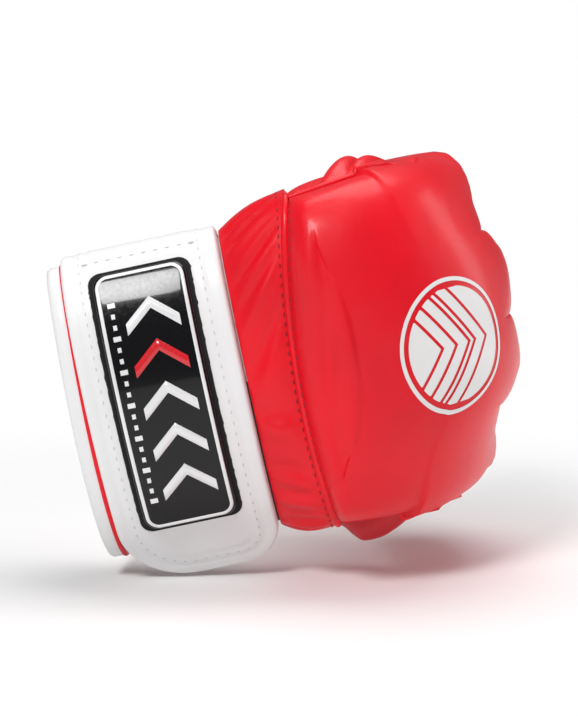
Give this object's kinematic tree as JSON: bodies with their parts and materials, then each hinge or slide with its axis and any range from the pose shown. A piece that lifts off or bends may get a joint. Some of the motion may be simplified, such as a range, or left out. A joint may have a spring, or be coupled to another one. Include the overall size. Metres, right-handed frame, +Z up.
{
  "type": "mixed martial arts glove",
  "caption": "Right-hand open-finger fighting glove: curled padded knuckle shell, finger sleeves, open palm and a hook-and-loop wrist strap.",
  "frame": {"origin": "on the ground plane under the middle of the standing glove's box", "axes": "+Z up (thumb side), +X along the hand from the cuff to the knuckles, leaned back 12 degrees, +Y from the back of the hand to the palm"},
  "size_m": [0.1564, 0.1148, 0.1382],
  "materials": {
    "red_leather": "satin, fine grain",
    "dark_red_leather": "satin, shaded side wall",
    "white_leather": "satin, smooth",
    "foam": "closed-cell padding, matt",
    "black_lining": "brushed knit",
    "finger_lining": "brushed knit, slightly faded",
    "hook_and_loop": "looped pile",
    "badge_fabric": "woven backing",
    "badge_gloss": "gloss",
    "badge_print": "printed, gloss"
  },
  "bodies": {
    "hand": {"dorsal_cover": "red_leather", "gauntlet_cover": "red_leather", "palm_panel": "red_leather", "thumb_gusset": "red_leather", "little_side_gusset": "dark_red_leather", "wrist_seam_piping": "red_leather", "dorsal_foam": "foam", "gauntlet_padding": "foam", "cuff_padding": "foam", "dorsal_lining": "black_lining", "palm_lining": "black_lining", "cuff_lining": "black_lining", "cuff_band": "white_leather", "cuff_binding": "white_leather", "strap_anchor": "white_leather", "thumb_opening_binding": "white_leather", "palm_vent_binding": "white_leather", "loop_patch": "hook_and_loop", "index_knuckle_pad": "red_leather", "middle_knuckle_pad": "red_leather", "ring_knuckle_pad": "red_leather", "little_knuckle_pad": "red_leather"},
    "strap": {"strap_flap": "white_leather", "flap_hook_patch": "hook_and_loop", "badge_backing": "badge_fabric", "badge_face": "badge_gloss", "badge_outline": "badge_print", "badge_bars": "badge_print"},
    "strap_end": {"strap_tip": "white_leather", "tip_hook_patch": "hook_and_loop"},
    "index_finger": {"index_cover": "red_leather", "index_foam": "foam", "index_sleeve": "red_leather", "index_lining": "finger_lining"},
    "middle_finger": {"middle_cover": "red_leather", "middle_foam": "foam", "middle_sleeve": "red_leather", "middle_lining": "finger_lining"},
    "ring_finger": {"ring_cover": "red_leather", "ring_foam": "foam", "ring_sleeve": "red_leather", "ring_lining": "finger_lining"},
    "little_finger": {"little_cover": "red_leather", "little_foam": "foam", "little_sleeve": "red_leather", "little_lining": "finger_lining"}
  },
  "joints": [
    {"name": "index_knuckle", "type": "hinge", "parent": "hand", "child": "index_finger", "pos_m": [0.0323, -0.01937, 0.12053], "axis": [-0.2079, 0, 0.9781], "range_deg": [-50, 15], "deforming": ["index_knuckle_pad"]},
    {"name": "middle_knuckle", "type": "hinge", "parent": "hand", "child": "middle_finger", "pos_m": [0.04399, -0.01937, 0.09439], "axis": [-0.2079, 0, 0.9781], "range_deg": [-50, 15], "deforming": ["middle_knuckle_pad"]},
    {"name": "ring_knuckle", "type": "hinge", "parent": "hand", "child": "ring_finger", "pos_m": [0.04883, -0.01937, 0.06679], "axis": [-0.2079, 0, 0.9781], "range_deg": [-50, 15], "deforming": ["ring_knuckle_pad"]},
    {"name": "little_knuckle", "type": "hinge", "parent": "hand", "child": "little_finger", "pos_m": [0.04194, -0.01937, 0.0367], "axis": [-0.2079, 0, 0.9781], "range_deg": [-50, 15], "deforming": ["little_knuckle_pad"]},
    {"name": "strap_fold", "type": "hinge", "parent": "hand", "child": "strap", "pos_m": [-0.04807, -0.02637, 0.10665], "axis": [-0.9781, 0, -0.2079], "range_deg": [0, 85]},
    {"name": "strap_peel", "type": "hinge", "parent": "strap", "child": "strap_end", "pos_m": [-0.02954, -0.03319, 0.01946], "axis": [-0.9781, 0, -0.2079], "range_deg": [0, 70]}
  ]
}
